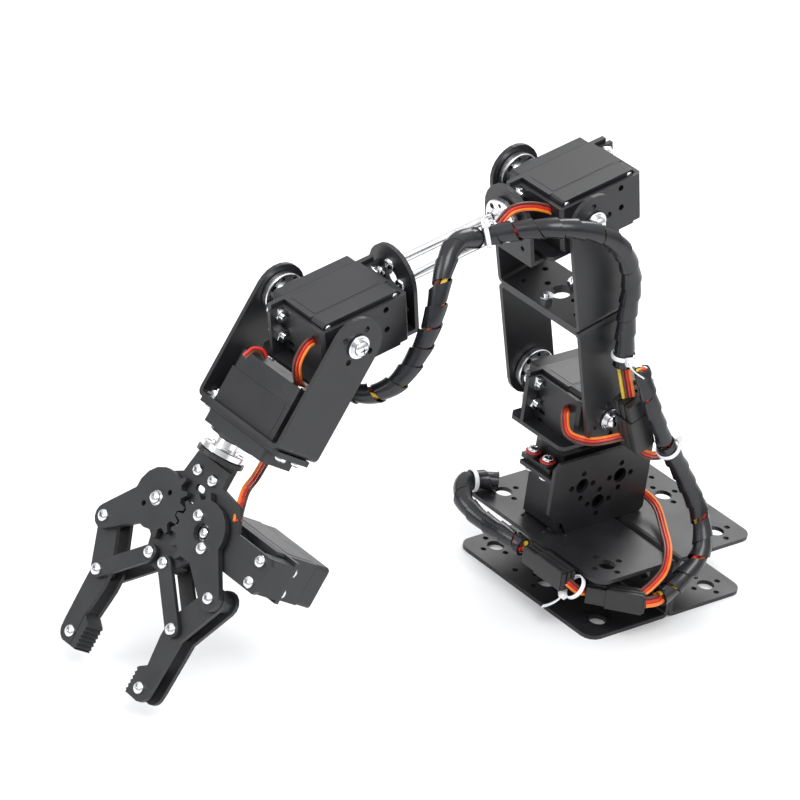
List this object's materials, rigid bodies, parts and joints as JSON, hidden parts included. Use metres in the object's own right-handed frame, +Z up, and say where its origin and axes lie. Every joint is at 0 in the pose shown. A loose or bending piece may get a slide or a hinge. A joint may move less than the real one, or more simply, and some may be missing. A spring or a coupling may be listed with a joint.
{
  "type": "desktop robot arm",
  "caption": "Jointed desktop robot arm of bent black sheet brackets and hobby servos, with a turning waist, pitching shoulder, elbow and wrist, a rolling hand and a geared gripper.",
  "frame": {"origin": "middle of the base on its underside, on the seam between the two base beams", "axes": "+Z up, +X the way the arm reaches, +Y the side of the passive pivots and the cable harness"},
  "size_m": [0.3183, 0.1238, 0.2173],
  "materials": {
    "black_anodised_sheet": "satin",
    "servo_plastic": "satin",
    "servo_gear_cover_plastic": "satin",
    "silver_alloy": "satin",
    "zinc_steel": "satin",
    "cable_sleeve": "satin",
    "wire_insulation": "satin",
    "plug_plastic": "matte"
  },
  "bodies": {
    "base": {"base_front_beam": "black_anodised_sheet", "base_rear_beam": "black_anodised_sheet", "waist_bracket": "black_anodised_sheet", "waist_servo_case": "servo_plastic", "waist_servo_gear_cover": "servo_gear_cover_plastic", "waist_servo_back_cover": "servo_plastic", "harness_base": "cable_sleeve", "plug_block_base": "plug_plastic", "plug_block_front": "plug_plastic"},
    "turntable": {"waist_horn": "silver_alloy", "shoulder_bracket": "black_anodised_sheet", "shoulder_servo_case": "servo_plastic", "shoulder_servo_gear_cover": "servo_gear_cover_plastic", "shoulder_servo_back_cover": "servo_plastic", "shoulder_pivot": "zinc_steel", "plug_block_shoulder": "plug_plastic", "harness_waist": "cable_sleeve"},
    "upper_arm": {"shoulder_horn": "silver_alloy", "upper_arm_lower_bracket": "black_anodised_sheet", "upper_arm_upper_bracket": "black_anodised_sheet", "elbow_horn": "silver_alloy", "wires_shoulder": "wire_insulation", "harness_shoulder": "cable_sleeve"},
    "forearm": {"elbow_bracket": "black_anodised_sheet", "elbow_servo_case": "servo_plastic", "elbow_servo_gear_cover": "servo_gear_cover_plastic", "elbow_servo_back_cover": "servo_plastic", "elbow_pivot": "zinc_steel", "elbow_l_bracket": "black_anodised_sheet", "forearm_disc": "silver_alloy", "forearm_rod_near": "silver_alloy", "forearm_rod_far": "silver_alloy", "wrist_l_bracket": "black_anodised_sheet", "wrist_bracket": "black_anodised_sheet", "wrist_servo_case": "servo_plastic", "wrist_servo_gear_cover": "servo_gear_cover_plastic", "wrist_servo_back_cover": "servo_plastic", "wrist_pivot": "zinc_steel", "harness_elbow": "cable_sleeve"},
    "hand": {"wrist_horn": "silver_alloy", "wrist_u_bracket": "black_anodised_sheet", "roll_servo_case": "servo_plastic", "roll_servo_gear_cover": "servo_gear_cover_plastic", "roll_servo_back_cover": "servo_plastic", "harness_wrist": "cable_sleeve"},
    "gripper": {"roll_horn": "silver_alloy", "gripper_mount": "black_anodised_sheet", "gripper_palm": "black_anodised_sheet", "gripper_servo_case": "servo_plastic", "gripper_servo_gear_cover": "servo_gear_cover_plastic", "gripper_servo_back_cover": "servo_plastic", "gripper_servo_block_shaft": "black_anodised_sheet", "gripper_servo_block_rear": "black_anodised_sheet"},
    "drive_gear": {"drive_gear": "black_anodised_sheet", "gripper_horn": "silver_alloy"},
    "idler_gear": {"idler_gear": "black_anodised_sheet"},
    "finger_right": {"finger_right": "black_anodised_sheet"},
    "finger_left": {"finger_left": "black_anodised_sheet"},
    "link_right": {"link_right": "black_anodised_sheet"},
    "link_left": {"link_left": "black_anodised_sheet"}
  },
  "joints": [
    {"name": "waist_turn", "type": "hinge", "parent": "base", "child": "turntable", "pos_m": [0.0045, -0.01, 0.075], "axis": [0, 0, 1], "range_deg": [-90, 90], "deforming": ["harness_waist"]},
    {"name": "shoulder_pitch", "type": "hinge", "parent": "turntable", "child": "upper_arm", "pos_m": [0.0283, -0.01, 0.0956], "axis": [0, -1, 0], "range_deg": [-70, 95], "deforming": ["wires_shoulder", "harness_shoulder"]},
    {"name": "elbow_pitch", "type": "hinge", "parent": "upper_arm", "child": "forearm", "pos_m": [0.05664, -0.01, 0.19992], "axis": [0, 1, 0], "range_deg": [-90, 35], "deforming": ["harness_elbow"]},
    {"name": "wrist_pitch", "type": "hinge", "parent": "forearm", "child": "hand", "pos_m": [0.18277, -0.01, 0.16851], "axis": [0, 1, 0], "range_deg": [-110, 40], "deforming": ["harness_wrist"]},
    {"name": "wrist_roll", "type": "hinge", "parent": "hand", "child": "gripper", "pos_m": [0.21794, -0.02015, 0.10454], "axis": [0.4818, 0, -0.8763], "range_deg": [-90, 90]},
    {"name": "grip", "type": "hinge", "parent": "gripper", "child": "drive_gear", "pos_m": [0.23239, -0.00415, 0.07825], "axis": [0.8763, 0, 0.4818], "range_deg": [-38.5, 8]},
    {"name": "idler_turn", "type": "hinge", "parent": "gripper", "child": "idler_gear", "pos_m": [0.23239, -0.03615, 0.07825], "axis": [0.8763, 0, 0.4818], "range_deg": [-8, 38.5]},
    {"name": "finger_right_turn", "type": "hinge", "parent": "drive_gear", "child": "finger_right", "pos_m": [0.24227, 0.01815, 0.06028], "axis": [0.8763, 0, 0.4818], "range_deg": [-8, 38.5]},
    {"name": "finger_left_turn", "type": "hinge", "parent": "idler_gear", "child": "finger_left", "pos_m": [0.24227, -0.05845, 0.06028], "axis": [0.8763, 0, 0.4818], "range_deg": [-38.5, 8]},
    {"name": "link_right_turn", "type": "hinge", "parent": "gripper", "child": "link_right", "pos_m": [0.24241, -0.01505, 0.06002], "axis": [0.8763, 0, 0.4818], "range_deg": [-38.5, 8]},
    {"name": "link_left_turn", "type": "hinge", "parent": "gripper", "child": "link_left", "pos_m": [0.24241, -0.02525, 0.06002], "axis": [0.8763, 0, 0.4818], "range_deg": [-8, 38.5]}
  ],
  "couplings": [
    {"joint": "idler_turn", "follows": "grip", "ratio": -1},
    {"joint": "finger_right_turn", "follows": "grip", "ratio": -1},
    {"joint": "finger_left_turn", "follows": "grip", "ratio": 1},
    {"joint": "link_right_turn", "follows": "grip", "ratio": 1},
    {"joint": "link_left_turn", "follows": "grip", "ratio": -1}
  ]
}
